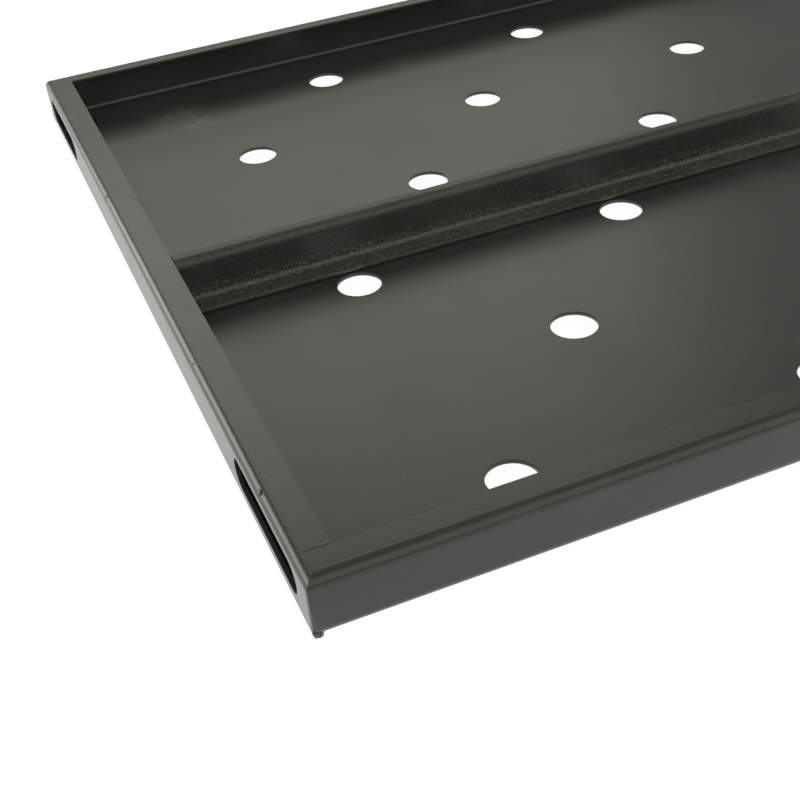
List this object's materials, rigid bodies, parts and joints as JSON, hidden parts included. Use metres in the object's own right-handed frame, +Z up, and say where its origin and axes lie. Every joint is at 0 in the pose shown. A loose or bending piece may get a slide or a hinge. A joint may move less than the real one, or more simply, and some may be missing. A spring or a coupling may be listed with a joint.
{
  "type": "pedalboard",
  "caption": "Low open-top pedalboard tray of folded steel with staggered round cable holes, slotted end walls, a cross stiffener and screwed-on rubber feet.",
  "frame": {"origin": "on the ground under the middle of the board, at the underside of the feet", "axes": "+X to the right along the long side, +Y to the rear rail, +Z up out of the open side"},
  "size_m": [0.5, 0.4, 0.0281],
  "materials": {
    "powder_coat": "black-green semi-gloss powder coat over steel, fine orange peel",
    "black_zinc": "black zinc plate over steel, satin, lightly scuffed",
    "rubber": "matt black moulded rubber"
  },
  "bodies": {
    "root": {"deck_panel": "powder_coat", "left_end_channel": "powder_coat", "right_end_channel": "powder_coat", "center_stiffener": "powder_coat", "stiffener_plug_weld_1": "powder_coat", "stiffener_plug_weld_2": "powder_coat", "stiffener_plug_weld_3": "powder_coat", "stiffener_plug_weld_4": "powder_coat", "stiffener_plug_weld_5": "powder_coat", "corner_weld_front_left": "powder_coat", "corner_weld_front_right": "powder_coat", "corner_weld_rear_left": "powder_coat", "corner_weld_rear_right": "powder_coat", "foot_front_left": "rubber", "foot_front_right": "rubber", "foot_rear_left": "rubber", "foot_rear_right": "rubber", "foot_screw_front_left": "black_zinc", "foot_screw_front_right": "black_zinc", "foot_screw_rear_left": "black_zinc", "foot_screw_rear_right": "black_zinc", "foot_washer_front_left": "black_zinc", "foot_washer_front_right": "black_zinc", "foot_washer_rear_left": "black_zinc", "foot_washer_rear_right": "black_zinc", "foot_nut_front_left": "black_zinc", "foot_nut_front_right": "black_zinc", "foot_nut_rear_left": "black_zinc", "foot_nut_rear_right": "black_zinc", "lap_rivet_front_left": "black_zinc", "lap_rivet_front_right": "black_zinc", "lap_rivet_rear_left": "black_zinc", "lap_rivet_rear_right": "black_zinc"}
  },
  "joints": []
}
